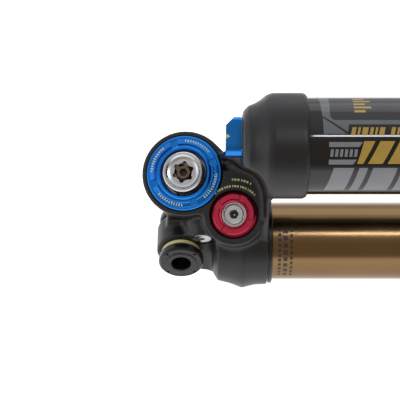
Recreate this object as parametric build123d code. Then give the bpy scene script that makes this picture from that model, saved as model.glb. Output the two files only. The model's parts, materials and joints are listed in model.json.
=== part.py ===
from build123d import *
import math
import os

# A mountain-bike rear air shock absorber with a piggyback reservoir.
# Frame: origin at the centre of the head eyelet's bolt bore, +X along the shock to the far eyelet,
# +Y along the eyelet bolt, +Z towards the reservoir. Millimetres.

# ---- driving dimensions -------------------------------------------------------------------
eye_to_eye = 230.0          # bolt centre to bolt centre, fully extended
stroke = 65.0               # how far the shock shortens
reservoir_offset = 55.0     # reservoir axis above the damper axis
reservoir_length = 110.0    # length of the reservoir tube

seat_gap = 0.02             # radial gap of pieces that are screwed or pushed together
run_gap = 0.05              # radial gap of pieces that slide or turn
edge = 0.4                  # usual edge rounding

# eyelets and their bolt hardware
bolt_diameter = 8.0
pin_diameter = 12.7
bushing_diameter = 15.0
eyelet_diameter = 20.0
eyelet_width = 12.7
hardware_width = 25.4
ring_diameter = 16.3
ring_width = 1.5
flange_diameter = 18.2
flange_width = 4.4

# damper
tube_diameter = 31.75
tube_wall = 1.9
inner_tube_diameter = 24.4
inner_tube_wall = 1.2
shaft_diameter = 12.7
stud_diameter = 8.0
barrel_start = 13.0
barrel_end = 35.2
tube_seat = 27.0            # where the body tube bottoms in the head
lock_ring_width = 1.8
seal_head_length = 10.0
seal_head_flange = 2.5
damper_piston_length = 8.0
shim_stack = 1.5

# air spring
can_bore = 54.0
can_wall = 2.0
closed_gap = 4.0            # room between the can head and the lock ring, shock fully closed
air_piston_length = 9.0
bumper_width = 2.5
rest_gap = 0.3              # between top-out bumper and can head, shock extended
end_gap = 3.0               # between seal head and can end, shock fully closed
can_head_flange = 3.0
can_head_plug = 13.2        # length of the can head inside the can
eyelet_plug = 3.5           # length of the far eyelet inside the can
shaft_engagement = 4.8      # how far the shaft's end goes past that
eyelet_flange = 6.0
valve_angle = 40.0          # air valve leans from -Y towards -Z
valve_setback = 10.0        # air valve, from the can's eyelet end

# reservoir
reservoir_diameter = 37.1
reservoir_wall = 1.55
collar_diameter = 40.4
collar_start = 23.8
collar_end = 48.2
reservoir_seat = 36.0
floating_piston_start = 100.0
floating_piston_length = 12.0
end_cap_plug = 6.0
end_cap_flange = 5.0

# knobs: both caps lie on one slanted face of the valve block
knob_tilt = 55.0            # rise of the face's normal from -Y towards +Z
knob_lean = 7.5             # lean of that normal towards -X
knob_face = (1.4, 6.9, 32.9)    # centre of the compression bore on that face
knob_spacing = 26.0
knob_bearing = -40.3        # direction of the rebound bore on the face
compression_housing = 34.4
compression_cap_diameter = 30.0
compression_bore = 24.0
rebound_housing = 24.8
rebound_cap_diameter = 18.9
rebound_bore = 13.0
housing_depth = 18.0
spanner_slots = 4

# firm-mode lever, on the reservoir's axis
lever_width = 6.0
lever_hub = 8.8
lever_reach = 10.8
lever_rise = 43.0           # the paddle points this far up from +Y at rest
spindle_diameter = 5.0
screw_head_radius = 3.0
screw_head_depth = 1.4

# ---- places worked out from them ------------------------------------------------------------
tube_radius = tube_diameter / 2
tube_bore = tube_radius - tube_wall
inner_radius = inner_tube_diameter / 2
inner_bore = inner_radius - inner_tube_wall
shaft_radius = shaft_diameter / 2
stud_radius = stud_diameter / 2
exposed_start = barrel_end + lock_ring_width
can_front = exposed_start + closed_gap + stroke
can_head_end = can_front + can_head_flange + can_head_plug
bumper_start = can_head_end + rest_gap
air_piston_start = bumper_start + bumper_width
tube_end = air_piston_start + air_piston_length
seal_head_start = tube_end - seal_head_length
seal_head_end = tube_end + seal_head_flange
can_end_inside = seal_head_end + stroke + end_gap
can_plug_end = can_end_inside + eyelet_plug
can_radius = can_bore / 2
can_outside = can_radius + can_wall
eyelet_radius = eyelet_diameter / 2
eyelet_back = can_plug_end + eyelet_flange
shaft_seat = can_plug_end + shaft_engagement
shoulder = seal_head_start - 2.5
piston_start = shoulder - shim_stack - damper_piston_length
nut_start = piston_start - 4.0
reservoir_radius = reservoir_diameter / 2
reservoir_bore = reservoir_radius - reservoir_wall
collar_radius = collar_diameter / 2
reservoir_end = reservoir_seat + reservoir_length
cap_end = reservoir_end + end_cap_flange
valve_place = can_plug_end - valve_setback


def across(point, direction, x_dir=(1, 0, 0)):
    """Plane at a point whose z axis is the given direction."""
    return Plane(origin=point, x_dir=x_dir, z_dir=direction)


tilt, lean = math.radians(knob_tilt), math.radians(knob_lean)
knob_normal = Vector(-math.sin(lean), -math.cos(lean) * math.cos(tilt), math.cos(lean) * math.sin(tilt))
knob_right = (Vector(1, 0, 0) - knob_normal * knob_normal.X).normalized()
bearing = math.radians(knob_bearing)
COMPRESSION = across(knob_face, knob_normal, knob_right)
REBOUND_SPOT = Pos(knob_spacing * math.cos(bearing), knob_spacing * math.sin(bearing), 0)
REBOUND = across(COMPRESSION.from_local_coords(REBOUND_SPOT.position), knob_normal, knob_right)
lever_turn = lever_rise - 90
MAIN = across((0, 0, 0), (1, 0, 0), (0, 0, 1))
KNOB_VIEW = across((0, 0, 0), (0, -0.681, 0.7325))    # tool access to the knobs comes from here
RESERVOIR = across((0, 0, reservoir_offset), (1, 0, 0), (0, 0, 1))
HEAD_EYE = across((0, 0, 0), (0, 1, 0))
FAR_EYE = across((eye_to_eye, 0, 0), (0, 1, 0))
plug_slope = math.radians(20)
PLUG = across((8.6, -7.6, 9.5), (0, -math.cos(plug_slope), -math.sin(plug_slope)))
valve_lean = math.radians(valve_angle)
valve_out = Vector(0, -math.cos(valve_lean), -math.sin(valve_lean))
AIR_VALVE = across(Vector(valve_place, 0, 0) + valve_out * can_radius, valve_out)


# ---- shared shapes ---------------------------------------------------------------------------
def turned(place, outline, rounding=0.0):
    """Solid of revolution about a plane's z axis from (radius, height) corners."""
    face = make_face(Plane.XZ * Polyline(*outline, close=True)).face()
    if rounding:
        corners = [v for v in face.vertices() if v.X > 0.01]
        face = face.fillet_2d(rounding, corners)
    return place * revolve(face, Axis.Z)


def rod(place, radius, low, high, rounding=0.0):
    return turned(place, [(0, low), (radius, low), (radius, high), (0, high)], rounding)


def ring(place, outer, inner, low, high, rounding=0.0):
    return turned(place, [(inner, low), (outer, low), (outer, high), (inner, high)], rounding)


def seal(place, radius, section, height):
    """O-ring whose section circle sits on a radius."""
    return place * Pos(0, 0, height) * Torus(radius, section / 2)


def hexagon(place, flats, low, high):
    return place * Pos(0, 0, low) * extrude(RegularPolygon(flats / math.sqrt(3), 6), high - low)


def beam(place, profile, low, high):
    """Straight bar of a closed outline between two heights."""
    return place * Pos(0, 0, low) * extrude(make_face(Polyline(*profile, close=True)), high - low)


def passage(start, finish, radius):
    """Drilled oil way between two points."""
    run = Vector(finish) - Vector(start)
    side = (0, 1, 0) if abs(run.normalized().Y) < 0.9 else (1, 0, 0)
    drill = Pos(0, 0, run.length / 2) * Cylinder(radius, run.length)
    return across(start, run, side) * drill


def repeated(place, shape, count, first=0.0):
    """Copies of a shape turned about a plane's z axis."""
    return [place * Rot(0, 0, first + 360 * k / count) * shape for k in range(count)]


# ---- head: casting ---------------------------------------------------------------------------
def knob_plate():
    """Face block of both knob bores: waisted towards the eyelet, hulled and swollen towards the reservoir."""
    first, second = Circle(compression_housing / 2), REBOUND_SPOT * Circle(rebound_housing / 2)
    swell = Pos(27.6, -11) * Circle(5.4)
    hull = make_hull(first.edges() + second.edges() + swell.edges())
    waist_side = Rot(0, 0, knob_bearing) * Pos(knob_spacing / 2, -30) * Rectangle(4 * knob_spacing, 60)
    return extrude(first + second + (hull - waist_side), -10)


def head_casting():
    half = eyelet_width / 2
    lug = rod(HEAD_EYE, eyelet_radius, -half, half, edge)
    neck_outline = [(0, -10), (9, -11.7), (15, -12.6), (15, 12.6), (9, 11.7), (0, 10)]
    neck = beam(across((0, 0, 0), (0, -1, 0)), neck_outline, -half, half)
    barrel = turned(MAIN, [(0, barrel_start), (13, barrel_start), (16.4, 15), (17.6, 20), (19.5, 25),
                           (18.2, 30), (18, barrel_end), (0, barrel_end)])
    shoulders = [(0, collar_start), (12.4, collar_start), (13.6, 24.4), (15.3, 26), (16.2, 28.4),
                 (17.6, 30.7), (19.4, 32.9), (collar_radius, 35), (collar_radius, 46.8),
                 (19.4, collar_end), (0, collar_end)]
    collar = turned(RESERVOIR, shoulders)
    depth = housing_depth
    compression = turned(COMPRESSION, [(0, -depth), (14, -depth), (compression_housing / 2, -9), (0, -9)])
    rebound = rod(REBOUND, rebound_housing / 2, -depth, -8)
    plate = COMPRESSION * fillet(knob_plate().edges().group_by(Axis.Z)[-1], 0.8)
    ledge_outline = [(12, 9.5), (19, 8.4), (24, 5.5), (29, 4), (32.6, 0), (33, -9), (31, -14), (15, -10)]
    ledge = extrude(make_face(Polyline(*ledge_outline, close=True)), 12.5)
    ledge = COMPRESSION * Pos(0, 0, -16) * chamfer(ledge.edges().group_by(Axis.Z)[-1], 1.2)
    block_outline = [(14.5, 4), (13.4, 16), (12, 33), (18, 44), (24, 46), (35, 47), (35, 4)]
    block = beam(across((0, 0, 0), (0, -1, 0)), block_outline, -10, 12)
    scallop = [(8, 34), (18.2, 32.9), (20.5, 32.2), (22, 31), (23.8, 29.3), (26.6, 28.2), (29.1, 26.9),
               (31, 24.7), (32.5, 21.7), (33.3, 17.6), (33.6, -12), (8, -12)]
    bridge = collar + block - beam(KNOB_VIEW, scallop, 17, 70)
    web = beam(across((0, 0, 0), (0, -1, 0)), [(-6, 6), (-5.6, 22), (12, 24), (12, 6)], -half, -0.8)
    boss = turned(PLUG, [(0, -12), (9, -12), (4.7, -0.3), (4.4, 0), (0, 0)])
    body = lug + neck + barrel + bridge + compression + rebound + plate + ledge + web + boss

    spot_face = flange_diameter / 2 + 0.6
    cuts = [rod(HEAD_EYE, bushing_diameter / 2 + seat_gap, -20, 20),
            rod(HEAD_EYE, spot_face, half, 20),
            rod(HEAD_EYE, spot_face, -20, -half),
            ring(MAIN, tube_radius + seat_gap, inner_bore - seat_gap, tube_seat, barrel_end + 1),
            rod(MAIN, inner_bore - seat_gap + 1, tube_seat + 4, barrel_end + 1),
            rod(MAIN, 5, tube_seat - 9, tube_seat + 5),
            rod(RESERVOIR, reservoir_radius + seat_gap, reservoir_seat, collar_end + 1),
            rod(RESERVOIR, 6, 30, reservoir_seat + 1),
            rod(RESERVOIR, spindle_diameter / 2, collar_start - 1, 31),
            rod(COMPRESSION, compression_cap_diameter / 2 + 0.3, -3, 1),
            rod(COMPRESSION, compression_bore / 2, -14, 1),
            rod(REBOUND, rebound_cap_diameter / 2 + 0.25, -3, 1),
            rod(REBOUND, rebound_bore / 2, -8.5, 1),
            rod(REBOUND, 1.6 + seat_gap, -18, 1),
            rod(PLUG, 4.1, -2, 1),
            rod(PLUG, 2.5 + seat_gap, -9, 1),
            passage((tube_seat - 9, 0, 0), COMPRESSION.from_local_coords((6, 0, -12)), 2.4),
            passage(COMPRESSION.from_local_coords((8, 0, -9)), (31, 0, reservoir_offset), 2.4)]
    for cut in cuts:
        body -= cut
    return body


# ---- head: knobs and valves ------------------------------------------------------------------
def slot_cutter(place, inner, outer, width, low, high, first):
    """Spanner slots with round inner ends."""
    blade = Pos((inner + outer) / 2, 0, (low + high) / 2) * Box(outer - inner, width, high - low)
    tip = Pos(inner, 0, (low + high) / 2) * Cylinder(width / 2, high - low)
    return repeated(place, blade + tip, spanner_slots, first)


def compression_cap():
    edge_radius = compression_cap_diameter / 2
    outline = [(11, -13), (compression_bore / 2 - seat_gap, -13), (compression_bore / 2 - seat_gap, -3),
               (edge_radius, -3), (edge_radius, 0.5), (edge_radius - 0.3, 0.8), (14.0, 0.8), (13.7, 1.25),
               (12.3, 1.55), (12.0, 1.9), (11.6, 1.9), (11.4, 0.9), (11.1, 0.9), (10.9, 1.7), (10.3, 2.2),
               (9.6, 2.2), (9.1, 1.6), (9.1, -6), (11, -6)]
    body = turned(COMPRESSION, outline)
    for cutter in slot_cutter(COMPRESSION, 12.2, 13.8, 3.0, 0.7, 3.0, 18.5):
        body -= cutter
    return body


def hsc_adjuster():
    """Dished turning disc with a six-lobe socket; the low-speed screw stands in its middle."""
    outline = [(2.72, -9), (8.0, -9), (8.0, 3.9), (7.6, 4.3), (6.9, 4.3), (6.2, 3.6), (5.2, 3.3), (4.6, 3.3),
               (4.6, -4), (2.72, -4)]
    disc = turned(COMPRESSION, outline)
    collar = ring(COMPRESSION, 4.7, 3.55, -4, 3.3)
    for lobe in repeated(COMPRESSION, Pos(3.45, 0, 0) * Cylinder(0.95, 7.8), 6, 20):
        collar -= lobe
    return disc + collar


def lsc_adjuster():
    screw = rod(COMPRESSION, 2.65, -9, 2.6, 0.25)
    return screw - hexagon(COMPRESSION, 3.0, 0.2, 3.5)


def compression_valve():
    outline = [(3, -14), (11 - seat_gap, -14), (11 - seat_gap, -9.3), (3, -9.3)]
    body = turned(COMPRESSION, outline, 0.3)
    for port in repeated(COMPRESSION, Pos(7, 0, -12) * Cylinder(1.3, 8), 6):
        body -= port
    return body


def rebound_cap():
    edge_radius = rebound_cap_diameter / 2
    outline = [(5.0, -6.5), (rebound_bore / 2 - seat_gap, -6.5), (rebound_bore / 2 - seat_gap, -3),
               (edge_radius, -3), (edge_radius, -1.5), (8.9, -1.2), (8.3, -0.9), (8.2, 0.1), (7.9, 0.4),
               (6.1, 0.4), (5.9, 0.1), (5.85, -0.5), (5.6, -0.5), (5.5, 0.2), (5.2, 0.35), (4.95, 0.1),
               (5.0, -0.6)]
    body = turned(REBOUND, outline)
    for cutter in slot_cutter(REBOUND, 7.2, 9.0, 3.1, -0.6, 2.0, 60.0):
        body -= cutter
    return body


def rebound_circlip():
    body = ring(REBOUND, 4.95, 4.3, -1.4, -0.75, 0.12)
    gap = REBOUND * Rot(0, 0, 150) * Pos(4.6, 0, -1) * Box(2.5, 1.2, 2)
    return body - gap


def lsr_adjuster():
    skirt = 4.97 - run_gap
    outline = [(0, -6.4), (skirt, -6.4), (skirt, -1.7), (3.85, -1.7), (3.85, 0.0), (3.55, 0.3), (0, 0.3)]
    screw = turned(REBOUND, outline)
    return screw - hexagon(REBOUND, 3.5, -2.2, 1.0)


def rebound_valve():
    """Seat disc with the metering needle's tube below it."""
    disc = rod(REBOUND, rebound_bore / 2 - seat_gap, -8.5, -6.5, 0.2)
    return disc + rod(REBOUND, 1.6, -16, -8.5)


def firm_lever():
    """Straight-sided paddle with a round hub end; its tip is bevelled on the outside and at the front."""
    low, high = collar_start - 0.3 - lever_width, collar_start - 0.3
    half = lever_hub / 2
    outline = [(0, -half), (lever_reach - 3.2, -half), (lever_reach, -half + 2.6), (lever_reach, half - 1),
               (lever_reach - 1, half), (0, half)]
    blade = Pos(0, 0, low) * extrude(make_face(Polyline(*outline, close=True)), high - low)
    blade -= Pos(lever_reach + 0.6, 0, low) * Rot(0, 45, 0) * Box(5.2, 3 * half, 5.2)
    hub = Pos(0, 0, low) * Cylinder(half, high - low, align=(Align.CENTER, Align.CENTER, Align.MIN))
    paddle = RESERVOIR * Rot(0, 0, lever_turn) * (blade + hub)
    paddle -= rod(RESERVOIR, spindle_diameter / 2 - run_gap + seat_gap, low - 1, high + 1)
    return paddle - rod(RESERVOIR, screw_head_radius + seat_gap, low - 1, low + screw_head_depth)


def lever_spindle():
    front = collar_start - 0.3 - lever_width + screw_head_depth
    body = rod(RESERVOIR, spindle_diameter / 2 - run_gap, front, 34, 0.3)
    return body - rod(RESERVOIR, 1.5 + seat_gap, front - 1, front + 8)


def lever_screw():
    """Screw whose head sits flush in the lever and clamps it on the spindle."""
    face = collar_start - 0.3 - lever_width
    body = rod(RESERVOIR, screw_head_radius, face + 0.05, face + screw_head_depth, 0.2)
    body += rod(RESERVOIR, 1.5, face + screw_head_depth - 0.1, face + 8)
    return body - hexagon(RESERVOIR, 2.0, face - 1, face + 0.9)


def plug_screw():
    body = rod(PLUG, 4.0, -1.98, -0.1, 0.35) + rod(PLUG, 2.5, -8, -1.98)
    return body - hexagon(PLUG, 2.0, -2.0, 0.5)


# ---- eyelet hardware, the same at both ends ----------------------------------------------------
def bushing(eye):
    half = eyelet_width / 2
    return ring(eye, bushing_diameter / 2, pin_diameter / 2 + run_gap, -half, half, 0.25)


def eyelet_pin(eye):
    return ring(eye, pin_diameter / 2, bolt_diameter / 2, -hardware_width / 2, hardware_width / 2, 0.5)


def side_pieces(eye, maker):
    """The same piece on both sides of an eyelet, as one group."""
    turned_over = across(eye.origin, -eye.z_dir)
    return Compound(children=[maker(eye), maker(turned_over)])


def seal_ring(eye):
    start = eyelet_width / 2 + 0.05
    return ring(eye, ring_diameter / 2, pin_diameter / 2 + seat_gap, start, start + ring_width, 0.3)


def spacer(eye):
    """Flanged spacer: narrow step against the seal ring, wide flange outside with four dimples."""
    start = eyelet_width / 2 + 0.05 + ring_width
    finish = start + flange_width
    outline = [(pin_diameter / 2 + seat_gap, start), (7.6, start), (7.6, start + 0.7), (8.6, start + 0.9),
               (flange_diameter / 2, start + 1.5), (flange_diameter / 2, finish - 0.7),
               (flange_diameter / 2 - 0.7, finish), (pin_diameter / 2 + seat_gap, finish)]
    body = turned(eye, outline)
    for dimple in repeated(eye, Pos(7.75, 0, finish) * Cylinder(0.6, 0.8), 4, 45):
        body -= dimple
    return body


# ---- damper -----------------------------------------------------------------------------------
def body_tube():
    return ring(MAIN, tube_radius, tube_bore, tube_seat, tube_end, 0.3)


def tube_lock_ring():
    bore = tube_radius + seat_gap
    return turned(MAIN, [(bore, barrel_end), (16.8, barrel_end), (16.8, barrel_end + 0.45),
                         (17.5, barrel_end + 0.6), (17.5, exposed_start - 0.3), (17.2, exposed_start),
                         (bore, exposed_start)])


def inner_damper_tube():
    body = ring(MAIN, inner_radius, inner_bore, tube_seat, seal_head_start)
    for port in repeated(MAIN, Pos(inner_bore, 0, seal_head_start - 4) * Rot(0, 90, 0) * Cylinder(1.1, 6), 6):
        body -= port
    return body


def seal_head():
    bore = shaft_radius + run_gap
    return turned(MAIN, [(bore, seal_head_start), (tube_bore - seat_gap, seal_head_start),
                         (tube_bore - seat_gap, tube_end), (tube_radius + 2.2, tube_end),
                         (tube_radius + 2.2, seal_head_end - 0.5), (tube_radius + 1.7, seal_head_end),
                         (bore, seal_head_end)])


def damper_shaft():
    body = rod(MAIN, shaft_radius, shoulder, shaft_seat - 0.05)
    return body + rod(MAIN, stud_radius, nut_start - 0.8, shoulder)


def damper_piston():
    outer = inner_bore - 0.4
    low, high = piston_start, piston_start + damper_piston_length
    groove = outer - 0.9
    body = turned(MAIN, [(stud_radius + seat_gap, low), (outer, low), (outer, low + 2), (groove, low + 2),
                         (groove, high - 2), (outer, high - 2), (outer, high),
                         (stud_radius + seat_gap, high)])
    for port in repeated(MAIN, Pos(7.0, 0, (low + high) / 2) * Cylinder(1.2, damper_piston_length + 2), 6):
        body -= port
    return body


def piston_band():
    groove = inner_bore - 1.3
    low = piston_start + 2.05
    return ring(MAIN, inner_bore - run_gap, groove + seat_gap, low, low + damper_piston_length - 4.1, 0.15)


def piston_shims():
    start = piston_start + damper_piston_length
    outline = [(stud_radius + seat_gap, start), (9.2, start), (9.2, start + 0.5), (7.6, start + 0.5),
               (7.6, start + 1.0), (6.0, start + 1.0), (6.0, start + shim_stack),
               (stud_radius + seat_gap, start + shim_stack)]
    return turned(MAIN, outline)


def piston_nut():
    nut = hexagon(MAIN, 13.0, nut_start, piston_start)
    return nut - rod(MAIN, stud_radius + seat_gap, nut_start - 1, piston_start + 1)


# ---- air spring ---------------------------------------------------------------------------------
def air_piston():
    outer = can_radius - 0.25
    low, high = air_piston_start, tube_end
    groove = outer - 2.6
    return turned(MAIN, [(tube_radius + seat_gap, low), (outer, low), (outer, low + 2.4), (groove, low + 2.4),
                         (groove, high - 2.4), (outer, high - 2.4), (outer, high),
                         (tube_radius + seat_gap, high)])


def air_piston_seal():
    groove = can_radius - 0.25 - 2.6
    return ring(MAIN, can_radius - run_gap, groove + seat_gap, air_piston_start + 2.45, tube_end - 2.45, 0.5)


def top_out_bumper():
    return ring(MAIN, tube_radius + 6, tube_radius + seat_gap, bumper_start, air_piston_start, 0.6)


def air_can():
    """Plain aluminium sleeve, bored through for the air valve near its eyelet end."""
    start = can_front + can_head_flange
    body = turned(MAIN, [(can_radius, start), (can_outside, start), (can_outside, can_plug_end),
                         (can_radius, can_plug_end)])
    return body - rod(AIR_VALVE, 4.5 + seat_gap, -6, 12)


def can_head():
    bore = tube_radius + 0.3
    shelf, plug = can_front + can_head_flange, can_radius - seat_gap
    lip = tube_radius + 4.5
    body = turned(MAIN, [(bore, can_front), (lip, can_front), (lip + 1, can_front + 0.6),
                         (can_outside - 2.4, can_front + 1.2), (can_outside, shelf - 0.4),
                         (can_outside, shelf), (plug, shelf), (plug, can_head_end), (bore, can_head_end)])
    wiper_groove = ring(MAIN, tube_radius + 2.4, tube_radius - 1, can_front - 1, can_front + 2.5)
    seal_groove = ring(MAIN, tube_radius + 3, tube_radius - 1, can_front + 6, can_front + 10)
    return body - wiper_groove - seal_groove


def wiper_seal():
    lip = tube_radius + run_gap
    front, back = can_front - 0.5, can_front + 2.5
    return turned(MAIN, [(lip, front), (tube_radius + 0.8, front), (tube_radius + 2.35, front + 0.8),
                         (tube_radius + 2.4 - seat_gap, back), (tube_radius + 0.6, back)])


def can_seal():
    return ring(MAIN, tube_radius + 3 - seat_gap, tube_radius + run_gap, can_front + 6, can_front + 10, 0.5)


def shaft_eyelet():
    half = eyelet_width / 2
    plug = can_radius - seat_gap
    cup = turned(MAIN, [(0, can_end_inside), (plug, can_end_inside), (plug, can_plug_end),
                        (can_outside, can_plug_end), (can_outside, can_plug_end + 2),
                        (can_outside - 1.2, can_plug_end + 3.4), (22, eyelet_back - 0.8), (15, eyelet_back),
                        (0, eyelet_back)])
    lug = rod(FAR_EYE, eyelet_radius, -half, half, edge)
    root, throat = eyelet_back - 2, eye_to_eye - 7
    sides = [(root, -13.5), (throat, -10.6), (eye_to_eye, -eyelet_radius), (eye_to_eye, eyelet_radius),
             (throat, 10.6), (root, 13.5)]
    neck = beam(across((0, 0, 0), (0, -1, 0)), sides, -half, half)
    body = cup + lug + neck
    body -= rod(FAR_EYE, bushing_diameter / 2 + seat_gap, -20, 20)
    body -= rod(MAIN, shaft_radius + seat_gap, can_end_inside - 1, shaft_seat)
    return body - ring(MAIN, shaft_radius + 5, shaft_radius - 1, can_end_inside - 1, can_end_inside + 4)


def bump_stop():
    low, high = can_end_inside - end_gap + 0.4, can_end_inside + 4
    return ring(MAIN, shaft_radius + 4.5, shaft_radius + 0.3, low, high, 0.8)


def air_valve_body():
    """Threaded stem; its foot stops short of the bore, which the air piston's seal sweeps past."""
    foot, shoulder_low = 0.2, can_wall + 0.4
    stem = [(1.6, foot), (4.5, foot), (4.5, can_wall), (6.2, shoulder_low), (6.2, shoulder_low + 1.2),
            (3.85, shoulder_low + 1.6), (3.85, can_wall + 9.5), (1.6, can_wall + 9.5)]
    return turned(AIR_VALVE, stem)


def air_valve_core():
    foot, tip = 1.7, 10.4
    return turned(AIR_VALVE, [(0, foot), (1.2, foot), (1.2, tip - 1.2), (0.8, tip), (0, tip)])


def air_valve_cap():
    low, high = can_wall + 2.4, can_wall + 11.6
    roof = high - 1.4
    body = turned(AIR_VALVE, [(3.9, low), (5.4, low), (5.4, high - 0.8), (4.6, high), (0, high), (0, roof),
                              (3.9, roof)])
    for flute in repeated(AIR_VALVE, Pos(5.75, 0, (low + high) / 2) * Cylinder(0.6, high - low + 2), 16):
        body -= flute
    return body


def sag_ring():
    return seal(MAIN, tube_radius + 1.25, 2.4, can_front - 2.4)


# ---- reservoir ----------------------------------------------------------------------------------
def reservoir_tube():
    return ring(RESERVOIR, reservoir_radius, reservoir_bore, reservoir_seat, reservoir_end, 0.25)


def reservoir_end_cap():
    plug = reservoir_bore - seat_gap
    start = reservoir_end - end_cap_plug
    body = turned(RESERVOIR, [(0, start), (plug, start), (plug, start + 1.8), (plug - 1.5, start + 1.8),
                              (plug - 1.5, start + 4.2), (plug, start + 4.2), (plug, reservoir_end),
                              (reservoir_radius, reservoir_end), (reservoir_radius, cap_end - 1.5),
                              (reservoir_radius - 1.5, cap_end), (11, cap_end), (10, cap_end - 1.5),
                              (0, cap_end - 1.5)])
    return body - rod(RESERVOIR, 2.5 + seat_gap, start - 1, cap_end)


def end_cap_seal():
    plug = reservoir_bore - seat_gap
    start = reservoir_end - end_cap_plug
    return ring(RESERVOIR, reservoir_bore - 0.005, plug - 1.5 + seat_gap, start + 1.9, start + 4.1, 0.4)


def charge_screw():
    seat = cap_end - 1.5
    body = rod(RESERVOIR, 4.2, seat, seat + 1.4, 0.3) + rod(RESERVOIR, 2.5, seat - 6, seat)
    return body - hexagon(RESERVOIR, 2.5, seat - 0.6, seat + 2)


def floating_piston():
    outer = reservoir_bore - run_gap - 0.02
    low, high = floating_piston_start, floating_piston_start + floating_piston_length
    return turned(RESERVOIR, [(0, low + 3), (outer - 4, low + 3), (outer - 3, low), (outer, low),
                              (outer, low + 4),
                              (outer - 1.8, low + 4), (outer - 1.8, low + 7), (outer, low + 7), (outer, high),
                              (outer - 3, high), (outer - 4, high - 5), (0, high - 5)])


def floating_piston_seal():
    outer = reservoir_bore - run_gap - 0.02
    low = floating_piston_start + 4
    return ring(RESERVOIR, reservoir_bore - 0.03, outer - 1.8 + seat_gap, low + 0.05, low + 2.95, 0.5)


# ---- write one file for each piece --------------------------------------------------------------
pieces = {
    "head_casting": head_casting(),
    "body_tube": body_tube(),
    "tube_lock_ring": tube_lock_ring(),
    "inner_damper_tube": inner_damper_tube(),
    "seal_head": seal_head(),
    "compression_cap": compression_cap(),
    "compression_valve": compression_valve(),
    "hsc_adjuster": hsc_adjuster(),
    "lsc_adjuster": lsc_adjuster(),
    "rebound_cap": rebound_cap(),
    "rebound_valve": rebound_valve(),
    "rebound_circlip": rebound_circlip(),
    "lsr_adjuster": lsr_adjuster(),
    "firm_lever": firm_lever(),
    "lever_spindle": lever_spindle(),
    "lever_screw": lever_screw(),
    "plug_screw": plug_screw(),
    "air_piston": air_piston(),
    "air_piston_seal": air_piston_seal(),
    "top_out_bumper": top_out_bumper(),
    "reservoir_tube": reservoir_tube(),
    "reservoir_end_cap": reservoir_end_cap(),
    "end_cap_seal": end_cap_seal(),
    "charge_screw": charge_screw(),
    "floating_piston": floating_piston(),
    "floating_piston_seal": floating_piston_seal(),
    "damper_shaft": damper_shaft(),
    "damper_piston": damper_piston(),
    "piston_band": piston_band(),
    "piston_shims": piston_shims(),
    "piston_nut": piston_nut(),
    "air_can": air_can(),
    "can_head": can_head(),
    "wiper_seal": wiper_seal(),
    "can_seal": can_seal(),
    "shaft_eyelet": shaft_eyelet(),
    "bump_stop": bump_stop(),
    "air_valve_body": air_valve_body(),
    "air_valve_core": air_valve_core(),
    "air_valve_cap": air_valve_cap(),
    "sag_ring": sag_ring(),
}
for end, eye in (("head", HEAD_EYE), ("shaft", FAR_EYE)):
    pieces[end + "_bushing"] = bushing(eye)
    pieces[end + "_pin"] = eyelet_pin(eye)
    pieces[end + "_seal_rings"] = side_pieces(eye, seal_ring)
    pieces[end + "_spacers"] = side_pieces(eye, spacer)

os.makedirs("parts", exist_ok=True)
for name, shape in pieces.items():
    export_step(shape, "parts/" + name + ".step")
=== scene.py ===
import json
import math

import bmesh
import bpy
import numpy as np
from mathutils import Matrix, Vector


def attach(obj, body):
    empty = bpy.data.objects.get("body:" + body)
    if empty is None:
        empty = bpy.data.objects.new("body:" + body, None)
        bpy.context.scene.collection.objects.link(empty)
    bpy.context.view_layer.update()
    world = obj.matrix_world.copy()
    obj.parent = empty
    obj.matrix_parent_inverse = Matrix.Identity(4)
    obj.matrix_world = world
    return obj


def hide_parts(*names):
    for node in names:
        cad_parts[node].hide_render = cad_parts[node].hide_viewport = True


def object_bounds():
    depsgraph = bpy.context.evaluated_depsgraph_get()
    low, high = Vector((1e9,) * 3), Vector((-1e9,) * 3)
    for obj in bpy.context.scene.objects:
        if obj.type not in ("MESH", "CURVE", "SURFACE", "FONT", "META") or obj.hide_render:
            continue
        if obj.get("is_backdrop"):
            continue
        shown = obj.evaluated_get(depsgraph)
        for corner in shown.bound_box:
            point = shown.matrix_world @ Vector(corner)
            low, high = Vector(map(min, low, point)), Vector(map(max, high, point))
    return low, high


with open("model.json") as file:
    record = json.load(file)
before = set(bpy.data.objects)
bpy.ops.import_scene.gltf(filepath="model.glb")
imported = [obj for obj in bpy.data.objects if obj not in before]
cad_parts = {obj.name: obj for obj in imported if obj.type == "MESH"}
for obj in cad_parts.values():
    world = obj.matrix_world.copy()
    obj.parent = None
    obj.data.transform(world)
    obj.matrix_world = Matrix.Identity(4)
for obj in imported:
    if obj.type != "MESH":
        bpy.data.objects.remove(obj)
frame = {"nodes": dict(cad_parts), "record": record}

import openvdb
from bpy.props import FloatProperty, IntProperty, PointerProperty
from mathutils import Matrix, Vector

bl_info = {
    "name": "Rear shock looks",
    "version": (1, 0, 0),
    "blender": (4, 5, 0),
    "location": "3D View > Sidebar > Shock",
    "description": "Forged skin, printed wraps, finishes and studio for the piggyback shock absorber",
    "category": "Object",
}

MM = 0.001
# The side the knobs are read from, and the direction that is up when they are read.
OUT = Vector((0.0, -0.681, 0.7325))
UP = Vector((0.0, 0.7325, 0.681))
RESERVOIR_HEIGHT = 55.0
RESERVOIR_RADIUS = 18.55
TUBE_RADIUS = 15.875
CAN_RADIUS = 29.0
LEVER_FACE_RISE = 4.4
EYE_HALF = 6.35             # half the width of the head's eyelet
FLOOR_GAP = 0.2             # from the floor to the lowest point of the shock
WELD = 1e-5                 # outline corners closer than this are one corner
UNCUT = 400                 # film step longer than any outline, for films that need no cuts to bend
CREASE = math.radians(32)   # edges of the forging sharper than this are shaded sharp


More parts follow.
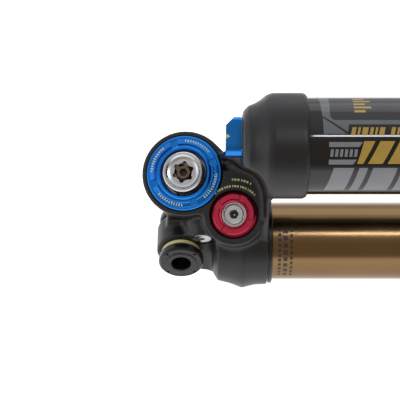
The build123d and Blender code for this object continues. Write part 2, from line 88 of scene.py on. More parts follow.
# ---- places: matrices from local millimetres to the shared frame in metres -------------------
def place(origin, z_dir, x_dir=(1, 0, 0)):
    """Frame at a point in mm whose z axis is a direction."""
    z = Vector(z_dir).normalized()
    x = Vector(x_dir)
    x = (x - z * x.dot(z)).normalized()
    axes = Matrix((x, z.cross(x), z)).transposed().to_4x4()
    return Matrix.Scale(MM, 4) @ Matrix.Translation(origin) @ axes


KNOB_NORMAL = Vector((-0.13053, -0.56867, 0.81214))
COMPRESSION = place((1.4, 6.9, 32.9), KNOB_NORMAL)
# Where the rebound knob lies as seen from the compression knob, in the plane they share.
KNOB_BEARING = math.radians(-40.3)
KNOB_SPACING = 26
REBOUND = COMPRESSION @ Matrix.Translation((KNOB_SPACING * math.cos(KNOB_BEARING),
                                            KNOB_SPACING * math.sin(KNOB_BEARING), 0))
MAIN = place((0, 0, 0), (1, 0, 0), (0, 0, 1))
RESERVOIR = place((0, 0, RESERVOIR_HEIGHT), (1, 0, 0), (0, 0, 1))
HEAD_EYE = place((0, 0, 0), (0, 1, 0))
LEVER_FACE = place((0, 0, RESERVOIR_HEIGHT), (0, -0.682, 0.7314))
PLUG_TILT = math.radians(20)
PLUG = place((8.6, -7.6, 9.5), (0, -math.cos(PLUG_TILT), -math.sin(PLUG_TILT)))

# Bores of the head as (place, (radius, depth) corners); each outline starts and ends on its axis.
HEAD_BORES = [
    (HEAD_EYE, [(0, -20), (9.7, -20), (9.7, -EYE_HALF), (7.8, -EYE_HALF), (7.52, -6.07), (7.52, 6.07),
                (7.8, EYE_HALF), (9.7, EYE_HALF), (9.7, 20), (0, 20)]),
    (MAIN, [(0, 27), (15.9, 27), (15.9, 34.9), (16.2, 35.2), (16.2, 36.5), (0, 36.5)]),
    (RESERVOIR, [(0, 36), (18.57, 36), (18.57, 47.9), (18.87, 48.2), (18.87, 49.5), (0, 49.5)]),
    (RESERVOIR, [(0, 17.4), (6.5, 17.4), (6.5, 23.8), (2.5, 23.8), (2.5, 31), (0, 31)]),
    (COMPRESSION, [(0, -14), (12, -14), (12, -3), (15.3, -3), (15.3, -0.25), (15.55, 0), (15.55, 1.5),
                   (0, 1.5)]),
    (REBOUND, [(0, -17), (1.65, -17), (1.65, -8.5), (6.5, -8.5), (6.5, -3), (9.7, -3), (9.7, -0.25),
               (9.95, 0), (9.95, 1.5), (0, 1.5)]),
    (PLUG, [(0, -9), (2.55, -9), (2.55, -2), (4.1, -2), (4.1, 0), (4.7, 0), (4.7, 6), (0, 6)]),
]
# The same bores stopped flush with the faces, so that rounding the forging leaves their rims alone.
HEAD_STOPPERS = [
    (HEAD_EYE, [(0, -EYE_HALF), (7.6, -EYE_HALF), (7.6, EYE_HALF), (0, EYE_HALF)]),
    (MAIN, [(0, 17), (16, 17), (16, 35.2), (0, 35.2)]),
    (RESERVOIR, [(0, 30), (6.1, 30), (6.1, 35.9), (18.7, 35.9), (18.7, 48.2), (0, 48.2)]),
    (RESERVOIR, [(0, 23.8), (2.6, 23.8), (2.6, 31), (0, 31)]),
    (COMPRESSION, [(0, -14.1), (12.1, -14.1), (12.1, -3), (15.4, -3), (15.4, 0), (0, 0)]),
    (REBOUND, [(0, -18), (1.7, -18), (1.7, -8.6), (6.6, -8.6), (6.6, -3), (9.8, -3), (9.8, 0), (0, 0)]),
    (PLUG, [(0, -9.1), (2.6, -9.1), (2.6, -2.1), (4.2, -2.1), (4.2, 0), (0, 0)]),
]


# ---- geometry ------------------------------------------------------------------------------------
def lathe(bm, where, outline, steps=128):
    """Adds the solid turned about a place's z axis from (radius, height) corners that end on the axis."""
    rings = []
    for radius, height in outline:
        count = steps if radius else 1
        angles = [2 * math.pi * k / count for k in range(count)]
        rings.append([bm.verts.new(where @ Vector((radius * math.cos(a), radius * math.sin(a), height)))
                      for a in angles])
    for low, high in zip(rings, rings[1:]):
        for k in range(steps):
            corners = list(dict.fromkeys([low[k % len(low)], low[(k + 1) % len(low)],
                                          high[(k + 1) % len(high)], high[k % len(high)]]))
            if len(corners) > 2:
                bm.faces.new(corners)
    bmesh.ops.recalc_face_normals(bm, faces=bm.faces)


def as_object(name, bm):
    """Object at the shared frame's origin from a bmesh, which is freed."""
    mesh = bpy.data.meshes.new(name)
    bm.to_mesh(mesh)
    bm.free()
    obj = bpy.data.objects.new(name, mesh)
    bpy.context.scene.collection.objects.link(obj)
    return obj


def arrays(mesh):
    """Corner points and triangles of a mesh as arrays."""
    mesh.calc_loop_triangles()
    points = np.empty(len(mesh.vertices) * 3, np.float32)
    mesh.vertices.foreach_get("co", points)
    triangles = np.empty(len(mesh.loop_triangles) * 3, np.int32)
    mesh.loop_triangles.foreach_get("vertices", triangles)
    return points.reshape(-1, 3), triangles.reshape(-1, 3)


def offset(points, distance, voxel, triangles=None, quads=None):
    """Skin at a distance from a closed surface, outwards if positive."""
    grid = openvdb.FloatGrid.createLevelSetFromPolygons(
        points, triangles=triangles, quads=quads, transform=openvdb.createLinearTransform(voxelSize=voxel),
        halfWidth=abs(distance) / voxel + 3)
    return grid.convertToQuads(isovalue=distance)


def forged(name, solid, stoppers, bores, settings):
    """Copy of a CAD solid with blended inner corners and softened edges, bored again afterwards."""
    bm = bmesh.new()
    bm.from_mesh(solid.data)
    for where, outline in stoppers:
        lathe(bm, where, outline)
    rough = as_object(name + "_rough", bm)
    points, triangles = arrays(rough.data)
    voxel, fillet, edge = settings.voxel, settings.fillet, settings.edge
    points, quads = offset(points, fillet, voxel, triangles=triangles)
    points, quads = offset(points, -fillet - edge, voxel, quads=quads)
    points, quads = offset(points, edge, voxel, quads=quads)
    mesh = bpy.data.meshes.new(name)
    mesh.from_pydata(points.tolist(), [], quads.tolist())
    skin = bpy.data.objects.new(name, mesh)
    bpy.context.scene.collection.objects.link(skin)
    bm = bmesh.new()
    bm.from_mesh(mesh)
    if bm.calc_volume(signed=True) < 0:
        bmesh.ops.reverse_faces(bm, faces=bm.faces)
    for _ in range(settings.smoothing):
        bmesh.ops.smooth_vert(bm, verts=bm.verts, factor=0.5,
                              use_axis_x=True, use_axis_y=True, use_axis_z=True)
    bm.to_mesh(mesh)
    bm.free()
    cutters = []
    for k, (where, outline) in enumerate(bores):
        bm = bmesh.new()
        lathe(bm, where, outline)
        cutter = as_object(f"{name}_bore{k}", bm)
        cut = skin.modifiers.new(cutter.name, "BOOLEAN")
        cut.operation, cut.solver, cut.object = "DIFFERENCE", "MANIFOLD", cutter
        cutters.append(cutter)
    depsgraph = bpy.context.evaluated_depsgraph_get()
    bored = bpy.data.meshes.new_from_object(skin.evaluated_get(depsgraph))
    skin.modifiers.clear()
    skin.data = bored
    for helper in cutters + [rough]:
        bpy.data.objects.remove(helper)
    if len(bored.polygons) < len(quads) / 2:
        raise RuntimeError(f"boring {name} lost most of its surface")
    bored.shade_smooth()
    bored.set_sharp_from_angle(angle=CREASE)
    return skin


def around(height, radius):
    """Wrap onto a cylinder along X: mm along it, degrees around it from the knobs' side upwards."""
    def wrap(along, turn, lift):
        reach = radius + lift
        outward = OUT * math.cos(math.radians(turn)) + UP * math.sin(math.radians(turn))
        return Vector((along, reach * outward.y, height + reach * outward.z)) * MM
    return wrap


def dial(where, rise=0.0, slope=0.0, foot=0.0):
    """Wrap onto a turned face: mm from its axis, degrees around it; it rises by slope inwards of foot.

    rise is the face's height at foot, which is a radius.
    """
    def wrap(radius, turn, lift):
        a = math.radians(turn)
        height = rise + slope * (foot - radius) + lift
        return where @ Vector((radius * math.cos(a), radius * math.sin(a), height))
    return wrap


def flat(where, rise):
    """Wrap onto a flat face that lies at a height above a place."""
    def wrap(across, along, lift):
        return where @ Vector((across, along, rise + lift))
    return wrap


def film(name, outlines, wrap, ink, body, base=0.02, thickness=0.03, step=4.0):
    """Film of closed outlines laid on a wrap, for print and for painted shade; base is its height above the
    surface in mm.
    """
    bm = bmesh.new()
    for outline in outlines:
        bm.faces.new([bm.verts.new((a, b, 0)) for a, b in outline])
    bmesh.ops.remove_doubles(bm, verts=bm.verts, dist=WELD)
    low, high = min(v.co.y for v in bm.verts), max(v.co.y for v in bm.verts)
    for k in range(1, math.ceil((high - low) / step)):
        geometry = bm.verts[:] + bm.edges[:] + bm.faces[:]
        bmesh.ops.bisect_plane(bm, geom=geometry, plane_co=(0, low + k * step, 0), plane_no=(0, 1, 0))
    raised = bmesh.ops.extrude_face_region(bm, geom=bm.faces[:])["geom"]
    for vert in raised:
        if isinstance(vert, bmesh.types.BMVert):
            vert.co.z = thickness
    for vert in bm.verts:
        vert.co = wrap(vert.co.x, vert.co.y, vert.co.z + base)
    bmesh.ops.recalc_face_normals(bm, faces=bm.faces)
    obj = as_object(name, bm)
    obj.data.materials.append(ink)
    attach(obj, body)
    return obj


def slanted(start, width, low, high, slant):
    """Parallelogram outline whose top edge is shifted along by slant."""
    return [(start, low), (start + width, low), (start + width + slant, high), (start + slant, high)]


# ---- materials -------------------------------------------------------------------------------------
def srgb(code):
    """Linear RGBA of an sRGB hex colour."""
    parts = [int(code[k:k + 2], 16) / 255 for k in (1, 3, 5)]
    return [c / 12.92 if c <= 0.04045 else ((c + 0.055) / 1.055) ** 2.4 for c in parts] + [1.0]


def add_node(tree, kind, inputs=(), **settings):
    """Adds a node; each input takes a constant or another node's output."""
    node = tree.nodes.new(kind)
    for key, value in settings.items():
        setattr(node, key, value)
    for key, value in dict(inputs).items():
        if isinstance(value, bpy.types.NodeSocket):
            tree.links.new(value, node.inputs[key])
        else:
            node.inputs[key].default_value = value
    return node


def turning(tree, coordinates, where):
    """Distance from a place's z axis, and the direction a lathe tool runs around it."""
    centre = where.to_translation()
    axis = (where.to_3x3() @ Vector((0, 0, 1))).normalized()
    arm = add_node(tree, "ShaderNodeVectorMath", {0: coordinates, 1: centre}, operation="SUBTRACT").outputs[0]
    sweep = add_node(tree, "ShaderNodeVectorMath", {0: axis, 1: arm}, operation="CROSS_PRODUCT").outputs[0]
    radius = add_node(tree, "ShaderNodeVectorMath", {0: sweep}, operation="LENGTH").outputs["Value"]
    along = add_node(tree, "ShaderNodeVectorMath", {0: sweep}, operation="NORMALIZE").outputs[0]
    return radius, along


def surface(name, tones, rough, grain, patch, lathe_place=None, **sockets):
    """Material with two drifting tones, roughness that drifts with them and a fine relief.

    rough is the lowest and highest roughness, grain the relief's width and depth in mm, patch the
    width of the drift in mm. With a lathe place the relief is its turning marks.
    """
    material = bpy.data.materials.new(name)
    material.use_nodes = True
    tree = material.node_tree
    tree.nodes.clear()
    coordinates = add_node(tree, "ShaderNodeTexCoord").outputs["Object"]
    drift = add_node(tree, "ShaderNodeTexNoise",
                     {"Vector": coordinates, "Scale": 1 / (patch * MM), "Detail": 3.0}).outputs["Fac"]
    tone = add_node(tree, "ShaderNodeMix", {0: drift, 6: srgb(tones[0]), 7: srgb(tones[1])}, data_type="RGBA")
    roughness = add_node(tree, "ShaderNodeMapRange", {
        "Value": drift, "From Min": 0.3, "From Max": 0.7, "To Min": rough[0], "To Max": rough[1]})
    inputs = {"Base Color": tone.outputs[2], "Roughness": roughness.outputs[0]}
    if lathe_place is None:
        relief = add_node(tree, "ShaderNodeTexNoise",
                          {"Vector": coordinates, "Scale": 1 / (grain[0] * MM), "Detail": 2.0})
    else:
        radius, along = turning(tree, coordinates, lathe_place)
        relief = add_node(tree, "ShaderNodeTexNoise",
                          {"W": radius, "Scale": 1 / (grain[0] * MM), "Detail": 2.0}, noise_dimensions="1D")
        inputs["Tangent"] = along
    bump = add_node(tree, "ShaderNodeBump",
                    {"Height": relief.outputs["Fac"], "Distance": grain[1] * MM, "Strength": 1.0})
    inputs["Normal"] = bump.outputs["Normal"]
    shader = add_node(tree, "ShaderNodeBsdfPrincipled", {**inputs, **sockets})
    add_node(tree, "ShaderNodeOutputMaterial", {"Surface": shader.outputs["BSDF"]})
    return material


def metal(**sockets):
    """Shader values shared by bare and dyed metals."""
    return {"Metallic": 1.0, **sockets}


def lacquer(**sockets):
    """Shader values of a clear gloss coat over whatever lies below."""
    return {"Specular IOR Level": 0.0, "Coat Weight": 1.0, "Coat Roughness": 0.04, "Coat IOR": 1.5, **sockets}


# Each finish is (name, tones, roughness range, relief in mm, drift in mm, shader values).
FINISHES = {
    # Bead-blasted, then dyed black: dark satin with a fine peppery sparkle and no mirror image.
    "cast_black": ("bead_blasted_black_anodised_forging", ("#0D0E10", "#131417"), (0.36, 0.46),
                   (0.16, 0.012), 9, {"IOR": 1.46}),
    # Turned bar, dyed black: tighter highlights than the blasted forging.
    "anodised_black": ("turned_black_anodised_aluminium", ("#090A0C", "#0F1012"), (0.27, 0.34),
                       (0.3, 0.002), 14, {"IOR": 1.46}),
    # Hard coat with a bronze cast: a dull metallic mirror whose dark parts turn olive.
    "anodised_gold": ("bronze_hard_anodised_tube", ("#755E40", "#806848"), (0.17, 0.22), (0.35, 0.0008), 25,
                      metal()),
    # Wet-looking black paint: near-black body under a sharp clear reflection.
    "gloss_black": ("gloss_black_lacquered_tube", ("#050506", "#08090A"), (0.3, 0.36), (0.5, 0.0006), 30,
                    lacquer()),
    # Bright dip before the blue dye leaves a jewel-like metal that goes cyan where it is lit.
    "anodised_blue": ("bright_blue_anodised_aluminium", ("#2276CC", "#2A82DA"), (0.22, 0.28),
                      (0.18, 0.0008), 10, metal()),
    # The same process in red; its highlights turn pink.
    "anodised_red": ("bright_red_anodised_aluminium", ("#B8324A", "#C43C55"), (0.22, 0.29),
                     (0.18, 0.0008), 10, metal()),
    # Free-cutting stainless off the lathe: bright, slightly blurred along the tool path.
    "stainless": ("turned_stainless_steel", ("#B9BBBD", "#C6C8CA"), (0.22, 0.3), (0.12, 0.0008), 8,
                  metal(Anisotropic=0.5)),
    # Ground and plated: the cleanest mirror on the shock.
    "hard_chrome": ("ground_hard_chrome", ("#C4C7CB", "#CDD0D3"), (0.05, 0.08), (0.2, 0.0005), 30, metal()),
    # Sintered bearing metal: warm, dull and slightly porous.
    "bronze": ("sintered_bearing_bronze", ("#6A5945", "#76644F"), (0.34, 0.44), (0.15, 0.006), 6, metal()),
    # As-machined aluminium: pale grey with visible tool marks.
    "raw_aluminium": ("machined_raw_aluminium", ("#A9ABAD", "#B5B7B9"), (0.28, 0.36), (0.2, 0.003), 12,
                      metal()),
    # Nitrile: matt black with a faint bloom.
    "black_rubber": ("matt_nitrile_rubber", ("#17171A", "#1F1F22"), (0.6, 0.72), (0.25, 0.008), 7,
                     {"IOR": 1.52}),
    # Polyurethane wiper stock: waxy yellow that lets a little light in.
    "cream_seal": ("waxy_cream_polyurethane", ("#CFC88C", "#D9D29A"), (0.38, 0.46), (0.2, 0.004), 6,
                   {"IOR": 1.5, "Subsurface Weight": 0.15, "Subsurface Radius": (0.001, 0.0008, 0.0004)}),
    # Filled PTFE band: chalky dark green-grey.
    "glide_polymer": ("filled_ptfe_band", ("#4A5450", "#56605B"), (0.5, 0.6), (0.2, 0.004), 6, {"IOR": 1.38}),
    # Moulded nylon: even satin black with the mould's fine spark texture.
    "black_plastic": ("moulded_black_nylon", ("#131316", "#1A1A1D"), (0.4, 0.5), (0.12, 0.006), 8,
                      {"IOR": 1.53}),
}
# Inks and laser marks, and the black that also serves matt as painted shade in the sockets; those under the
# lacquer share its reflection, the others are matt.
INKS = {
    "cream": ("cream_laser_mark", ("#C9C48A", "#D3CE98")),
    "gold": ("gold_printed_ink", ("#9C8238", "#A88E44")),
    "light_grey": ("light_grey_printed_ink", ("#70757A", "#787D82")),
    "mid_grey": ("mid_grey_printed_ink", ("#565C60", "#5E6468")),
    "dark_grey": ("dark_grey_printed_ink", ("#232427", "#2A2B2E")),
    "black": ("black_print_and_painted_shade_ink", ("#09090B", "#0E0E10")),
    "umber": ("umber_laser_mark", ("#1E1A14", "#272019")),
}
# Pieces whose lathe marks show, with the axis they were turned on.
TURNED_ON = {
    "hsc_adjuster": COMPRESSION, "lsc_adjuster": COMPRESSION, "compression_cap": COMPRESSION,
    "rebound_cap": REBOUND, "lsr_adjuster": REBOUND, "rebound_circlip": REBOUND,
    "head_spacers": HEAD_EYE, "shaft_spacers": HEAD_EYE, "head_pin": HEAD_EYE, "shaft_pin": HEAD_EYE,
    "plug_screw": PLUG, "tube_lock_ring": MAIN, "can_head": MAIN,
}


def finish(slot, node=None):
    """Material of a record slot, with lathe marks of its own where the node shows them."""
    name, tones, rough, grain, patch, sockets = FINISHES[slot]
    turned = TURNED_ON.get(node)
    if turned is not None:
        name = f"{name}_{node}"
    known = bpy.data.materials.get(name)
    return known or surface(name, tones, rough, grain, patch, turned, **sockets)


def ink(kind, under_lacquer=True):
    """Printed or lasered marking, and in matt black the painted shade of the sockets; on bare pieces it dries
    matt.
    """
    name, tones = INKS[kind]
    name += "_lacquered" if under_lacquer else "_matt"
    known = bpy.data.materials.get(name)
    sockets = lacquer() if under_lacquer else {}
    return known or surface(name, tones, (0.4, 0.5), (0.1, 0.001), 5, **sockets)


# ---- settings ----------------------------------------------------------------------------------------
class ShockSkinSettings(bpy.types.PropertyGroup):
    """How the forging is blended."""
    voxel: FloatProperty(name="Cell", description="Cell the forging is worked in", default=0.35 * MM,
                         min=0.1 * MM, precision=5, unit="LENGTH")
    fillet: FloatProperty(name="Fillet", description="Radius of inner corners", default=2.2 * MM,
                          precision=5, unit="LENGTH")
    edge: FloatProperty(name="Edge", description="Radius of outer edges", default=0.5 * MM,
                        precision=5, unit="LENGTH")
    smoothing: IntProperty(name="Smoothing", description="Passes that even out the cells", default=3, min=0)


class ShockPrintSettings(bpy.types.PropertyGroup):
    """Where the printed wraps run."""
    wrap_end: FloatProperty(name="Wrap end", description="Far end of the reservoir's print along X",
                            default=132 * MM, precision=4, unit="LENGTH")
    ticks: IntProperty(name="Ticks", description="Ticks in each quarter of the blue cap's band", default=11)


class ShockStageSettings(bpy.types.PropertyGroup):
    """Studio around the shock."""
    floor: FloatProperty(name="Floor", description="Half width of the floor", default=1.6, unit="LENGTH")
    strip: FloatProperty(name="Strip light", description="Power of the strip above the reservoir",
                         default=0.8, unit="POWER")
    back: FloatProperty(name="Back light", description="Power of the soft box behind", default=1.0,
                        unit="POWER")
    side: FloatProperty(name="Side light", description="Power of the soft box at the head's end", default=0.9,
                        unit="POWER")
    distance: FloatProperty(name="Camera distance", description="From the aim point", default=0.5,
                            unit="LENGTH")
    lens: FloatProperty(name="Lens", description="Focal length in mm", default=108.45)


# ---- operators -----------------------------------------------------------------------------------------
class SHOCK_OT_finishes(bpy.types.Operator):
    """Gives every CAD piece the material of its slot"""
    bl_idname = "shock.finishes"
    bl_label = "Finishes"

    def execute(self, context):
        for piece in frame["record"]["subparts"]:
            obj = frame["nodes"][piece["node"]]
            obj.data.materials.clear()
            obj.data.materials.append(finish(piece["material_slot"], piece["node"]))
        return {"FINISHED"}


class SHOCK_OT_head_skin(bpy.types.Operator):
    """Blends the head casting into a forging and bores it again"""
    bl_idname = "shock.head_skin"
    bl_label = "Head forging"

    def execute(self, context):
        skin = forged("head_forging", frame["nodes"]["head_casting"], HEAD_STOPPERS, HEAD_BORES,
                      context.scene.shock_skin)
        skin.data.materials.clear()
        skin.data.materials.append(finish("cast_black"))
        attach(skin, "head")
        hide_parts("head_casting")
        return {"FINISHED"}


class SHOCK_OT_reservoir_print(bpy.types.Operator):
    """Prints the reservoir's wrap: a bordered panel, bars, slanted blocks and small gold marks"""
    bl_idname = "shock.reservoir_print"
    bl_label = "Reservoir print"

    def execute(self, context):
        wrap = around(RESERVOIR_HEIGHT, RESERVOIR_RADIUS)
        end = context.scene.shock_print.wrap_end / MM
        border = [(53.1, 11), (61.9, 11), (62.4, 22.5), (end, 22.5), (end, 88), (51.6, 88), (52.3, 60),
                  (52.7, 40), (52.9, 32)]
        panel = [(57.4, 28.3), (end - 2, 28.3), (end - 2, 72), (56, 72), (55.7, 34), (56.3, 30)]
        film("reservoir_print_border", [border], wrap, ink("mid_grey"), "head")
        film("reservoir_print_panel", [panel], wrap, ink("dark_grey"), "head", base=0.04)
        fold = [(52.95, 31.2), (61.6, 11), (62.3, 12.4), (53.0, 33.4)]
        film("reservoir_print_fold", [fold], wrap, ink("black"), "head", base=0.04)
        # A row of small bars in groups, then a row of large slanted blocks; the first block is cut narrower.
        widths, bar_gap, group_gap = (1.5, 0.9, 2.1, 1.2, 0.8, 1.9), 0.75, 1.6
        gold, start = [], 63.0
        while start < end - 8:
            for width in widths:
                gold.append(slanted(start, width, 9.4, 19.0, 0.7))
                start += width + bar_gap
            start += group_gap
        block_pitch, block_slant = 7.2, 4.4
        blocks, start = [], 66.6
        while start < end - 10:
            blocks.append(slanted(start - block_slant, 5.4, -23.4, 2.8, block_slant))
            start += block_pitch
        blocks[0][0], blocks[0][3] = (65.4, -23.4), (67.9, 2.8)
        mark_pitch = 6.4
        around_marks = [slanted(64.8, 6.4 if k % 2 else 4.2, 39 + mark_pitch * k, 42.6 + mark_pitch * k, 0)
                        for k in range(5)]
        film("reservoir_print_gold", gold + blocks, wrap, ink("gold"), "head")
        film("reservoir_print_small_gold", around_marks, wrap, ink("gold"), "head", base=0.07)
        bars = [slanted(55, 11.0, -3.9, 1.8, 0.0), slanted(55, 9.0, -24.3, -18.3, 0.0)]
        bars[0][2], bars[1][2] = (67.4, 1.8), (65.2, -18.3)
        dots = [slanted(55.4 + 1.75 * k, 1.1, -15, -6.4, 0.3) for k in range(6)]
        column_gap = 1.9
        columns, start = [], 54.0
        for width in (7.5, 3.2, 9.0, 6.0) * 3:
            if start + width < end - 6:
                columns.append(slanted(start, width, -65, -28.4, 3.0))
                start += width + column_gap
        film("reservoir_print_bars", bars + columns, wrap, ink("light_grey"), "head")
        film("reservoir_print_dots", dots, wrap, ink("light_grey"), "head")
        return {"FINISHED"}


class SHOCK_OT_can_print(bpy.types.Operator):
    """Prints slanted blocks and a pressure scale's ticks on the air can"""
    bl_idname = "shock.can_print"
    bl_label = "Air can print"

    def execute(self, context):
        wrap = around(0.0, CAN_RADIUS)
        blocks = [slanted(132 + 9 * k, 6.6, -10, 12, 5) for k in range(6)]
        bars = [slanted(130, 58, -18, -15.5, 0), slanted(135, 58, 17, 19.5, 0)]
        ticks = [slanted(132 + 4 * k, 0.5, -30, -25 if k % 5 else -22, 0) for k in range(15)]
        film("can_print_blocks", blocks, wrap, ink("gold"), "air_can_body")
        film("can_print_bars", bars + ticks, wrap, ink("light_grey"), "air_can_body")
        return {"FINISHED"}


class SHOCK_OT_tube_marks(bpy.types.Operator):
    """Lasers short dashes on the body tube beside the head"""
    bl_idname = "shock.tube_marks"
    bl_label = "Tube marks"

    def execute(self, context):
        first, sweep, share = -61, 84, 0.62
        dashes = []
        for start, width, count in ((39.2, 1.2, 11), (41.3, 1.7, 8), (44.0, 1.1, 10)):
            pitch = sweep / count
            dashes += [slanted(start, width, first + pitch * k, first + pitch * (k + share), 0)
                       for k in range(count)]
        film("tube_marks", dashes, around(0.0, TUBE_RADIUS), ink("umber", False), "head",
             base=0.0, thickness=0.01)
        return {"FINISHED"}


class SHOCK_OT_socket_painted_shade(bpy.types.Operator):
    """Lays painted shade: dark matt rings on the floors of the tool sockets"""
    bl_idname = "shock.socket_floors"
    bl_label = "Socket floors"

    def execute(self, context):
        # Painted shade: black matt rings at the bottom of each socket, where the recess lies in shade.
        floors = {
            "high_speed_socket_painted_shade": (COMPRESSION, -4.0, 2.75, 4.2, "high_speed_dial"),
            "low_speed_socket_painted_shade": (COMPRESSION, 0.2, 0.3, 1.45, "low_speed_dial"),
            "rebound_socket_painted_shade": (REBOUND, -2.2, 0.3, 1.72, "rebound_dial"),
        }
        for name, (where, depth, inner, outer, body) in floors.items():
            sectors = [[(inner, t), (outer, t), (outer, t + 15), (inner, t + 15)] for t in range(0, 360, 15)]
            film(name, sectors, dial(where, rise=depth), ink("black", False), body, base=0.0, step=UNCUT)
        return {"FINISHED"}


class SHOCK_OT_knob_marks(bpy.types.Operator):
    """Marks the knobs, the plate around them and the lever"""
    bl_idname = "shock.knob_marks"
    bl_label = "Knob marks"

    def execute(self, context):
        cream = ink("cream", False)
        # Fine ticks in the middle of each quarter of the blue cap's sloping band.
        count = context.scene.shock_print.ticks
        band = dial(COMPRESSION, rise=1.25, slope=0.214, foot=13.7)
        outer, half_tick, spread = 13.42, 1.05, 46
        ticks = []
        for quarter in range(4):
            middle = 63.5 + 90 * quarter
            for k in range(count):
                turn = middle + spread * (k / (count - 1) - 0.5)
                inner = 12.62 if k % 3 else 12.42
                ticks.append([(inner, turn - half_tick), (outer, turn - half_tick),
                              (outer, turn + half_tick), (inner, turn + half_tick)])
        film("compression_cap_ticks", ticks, band, cream, "head", base=0.0, step=UNCUT)
        # Two rows of dashes on the plate above the red cap.
        half_height = 0.42
        arcs = []
        for radius, first, last, steps in ((11.25, 42, 134, 17), (13.85, 60, 96, 7)):
            for k in range(steps):
                turn = first + (last - first) * k / steps
                wide = 3.4 if k % 3 else 2.2
                arcs.append([(radius - half_height, turn), (radius + half_height, turn),
                             (radius + half_height, turn + wide), (radius - half_height, turn + wide)])
        film("plate_arc_marks", arcs, dial(REBOUND), cream, "head", base=0.0, thickness=0.04, step=UNCUT)
        wedge = [(17.7, 2.6), (19.1, 3.5), (17.7, 4.4)]
        film("lever_index", [wedge], flat(LEVER_FACE, LEVER_FACE_RISE), cream, "lever_body", base=0.0)
        return {"FINISHED"}


def soft_box(name, size, position, aim, power, colour="#FFFFFF"):
    """Rectangular area light facing a point."""
    lamp = bpy.data.lights.new(name, "AREA")
    lamp.shape = "RECTANGLE"
    lamp.size, lamp.size_y = size
    lamp.energy = power
    lamp.color = srgb(colour)[:3]
    obj = bpy.data.objects.new(name, lamp)
    bpy.context.scene.collection.objects.link(obj)
    obj.location = position
    obj.rotation_euler = (Vector(aim) - Vector(position)).to_track_quat("-Z", "Y").to_euler()
    return obj


def floor_material():
    """Matt white paper with a painted glow around the shock, which washes out its shadow."""
    material = surface("matt_white_paper_with_painted_glow", ("#F4F4F4", "#F8F8F8"), (0.85, 0.95), (0.6, 0.01), 60)
    tree = material.node_tree
    shader = next(n for n in tree.nodes if n.type == "BSDF_PRINCIPLED")
    coordinates = next(n for n in tree.nodes if n.type == "TEX_COORD").outputs["Object"]
    # The painted glow is even up to the first distance from the head's eyelet and gone at the second, in
    # metres.
    near, far, strength = 0.22, 0.6, 0.7
    reach = add_node(tree, "ShaderNodeVectorMath", {0: coordinates}, operation="LENGTH")
    glow = add_node(tree, "ShaderNodeMapRange", {
        "Value": reach.outputs["Value"], "From Min": near, "From Max": far,
        "To Min": strength, "To Max": 0.0}, interpolation_type="SMOOTHSTEP")
    shader.inputs["Emission Color"].default_value = srgb("#FFFFFF")
    tree.links.new(glow.outputs[0], shader.inputs["Emission Strength"])
    return material


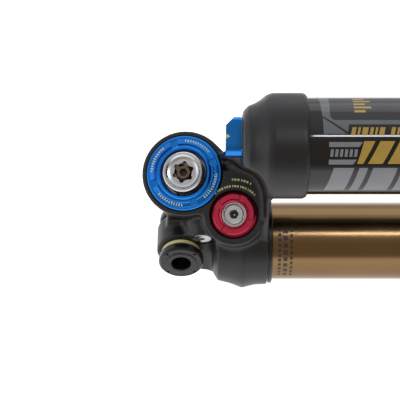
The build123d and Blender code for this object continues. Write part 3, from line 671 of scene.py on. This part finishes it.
class SHOCK_OT_stage(bpy.types.Operator):
    """Floor, light tent and camera"""
    bl_idname = "shock.stage"
    bl_label = "Stage"

    def execute(self, context):
        settings = context.scene.shock_stage
        low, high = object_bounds()
        bm = bmesh.new()
        bmesh.ops.create_grid(bm, x_segments=8, y_segments=8, size=settings.floor)
        for vert in bm.verts:
            vert.co += Vector(((low[0] + high[0]) / 2, 0, low[2] - FLOOR_GAP * MM))
        floor = as_object("floor", bm)
        floor.data.materials.append(floor_material())
        floor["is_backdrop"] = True
        reservoir = (0.04, 0, RESERVOIR_HEIGHT * MM)
        # The strip draws the thin line along the reservoir, and is far enough along that no knob mirrors it.
        strip_x = 0.28
        soft_box("strip_light", (0.36, 0.035), (strip_x, -0.215, 0.57), (strip_x, 0, reservoir[2]),
                 settings.strip, "#F4F2FF")
        soft_box("back_light", (1.0, 0.5), (0.05, 0.75, 0.55), reservoir, settings.back)
        soft_box("side_light", (0.5, 0.5), (-0.7, -0.25, 0.35), reservoir, settings.side)
        # The tent is warm and dim on the viewer's side and white behind the shock.
        world = bpy.data.worlds.new("light_tent")
        world.use_nodes = True
        tree = world.node_tree
        tree.nodes.clear()
        direction = add_node(tree, "ShaderNodeTexCoord").outputs["Generated"]
        bright_side = Vector((-0.35, 0.85, 0.4))
        toward = add_node(tree, "ShaderNodeVectorMath", {0: direction, 1: bright_side},
                          operation="DOT_PRODUCT")
        fade = add_node(tree, "ShaderNodeMapRange", {
            "Value": toward.outputs["Value"], "From Min": -0.45, "From Max": 0.6,
            "To Min": 0.0, "To Max": 1.0}, interpolation_type="SMOOTHSTEP")
        tone = add_node(tree, "ShaderNodeMix", {0: fade.outputs[0], 6: srgb("#B3A596"), 7: srgb("#F6F7FA")},
                        data_type="RGBA")
        glow = add_node(tree, "ShaderNodeBackground", {"Color": tone.outputs[2], "Strength": 0.9})
        add_node(tree, "ShaderNodeOutputWorld", {"Surface": glow.outputs[0]})
        context.scene.world = world
        lens = bpy.data.cameras.new("camera")
        lens.lens = settings.lens
        lens.clip_start = 0.01
        camera = bpy.data.objects.new("camera", lens)
        context.scene.collection.objects.link(camera)
        aim = Vector((7.7, 12.3, 11.44)) * MM
        camera.matrix_world = Matrix.Translation(aim + OUT * settings.distance) @ Matrix(
            (Vector((1, 0, 0)), UP, OUT)).transposed().to_4x4()
        context.scene.camera = camera
        context.scene.view_settings.view_transform = "Standard"
        return {"FINISHED"}


class SHOCK_PT_panel(bpy.types.Panel):
    """Lists the steps of the scene"""
    bl_label = "Shock"
    bl_idname = "SHOCK_PT_panel"
    bl_space_type = "VIEW_3D"
    bl_region_type = "UI"
    bl_category = "Shock"

    def draw(self, context):
        for group in (context.scene.shock_skin, context.scene.shock_print, context.scene.shock_stage):
            box = self.layout.box()
            for name in group.__annotations__:
                box.prop(group, name)
        for step in OPERATORS:
            self.layout.operator(step.bl_idname)


SETTINGS = {"shock_skin": ShockSkinSettings, "shock_print": ShockPrintSettings,
            "shock_stage": ShockStageSettings}
OPERATORS = (SHOCK_OT_finishes, SHOCK_OT_head_skin, SHOCK_OT_reservoir_print, SHOCK_OT_can_print,
             SHOCK_OT_tube_marks, SHOCK_OT_socket_painted_shade, SHOCK_OT_knob_marks, SHOCK_OT_stage)


def register():
    """Adds the settings, operators and panel."""
    for item in (*SETTINGS.values(), *OPERATORS, SHOCK_PT_panel):
        bpy.utils.register_class(item)
    for name, group in SETTINGS.items():
        setattr(bpy.types.Scene, name, PointerProperty(type=group))


def unregister():
    """Takes them away again."""
    for name in SETTINGS:
        delattr(bpy.types.Scene, name)
    for item in (SHOCK_PT_panel, *reversed(OPERATORS), *reversed(SETTINGS.values())):
        bpy.utils.unregister_class(item)


def main():
    """Builds the scene."""
    register()
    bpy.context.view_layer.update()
    bpy.ops.shock.finishes()
    bpy.ops.shock.head_skin()
    bpy.ops.shock.reservoir_print()
    bpy.ops.shock.can_print()
    bpy.ops.shock.tube_marks()
    bpy.ops.shock.socket_floors()
    bpy.ops.shock.knob_marks()
    bpy.ops.shock.stage()


if __name__ == "__main__":
    main()
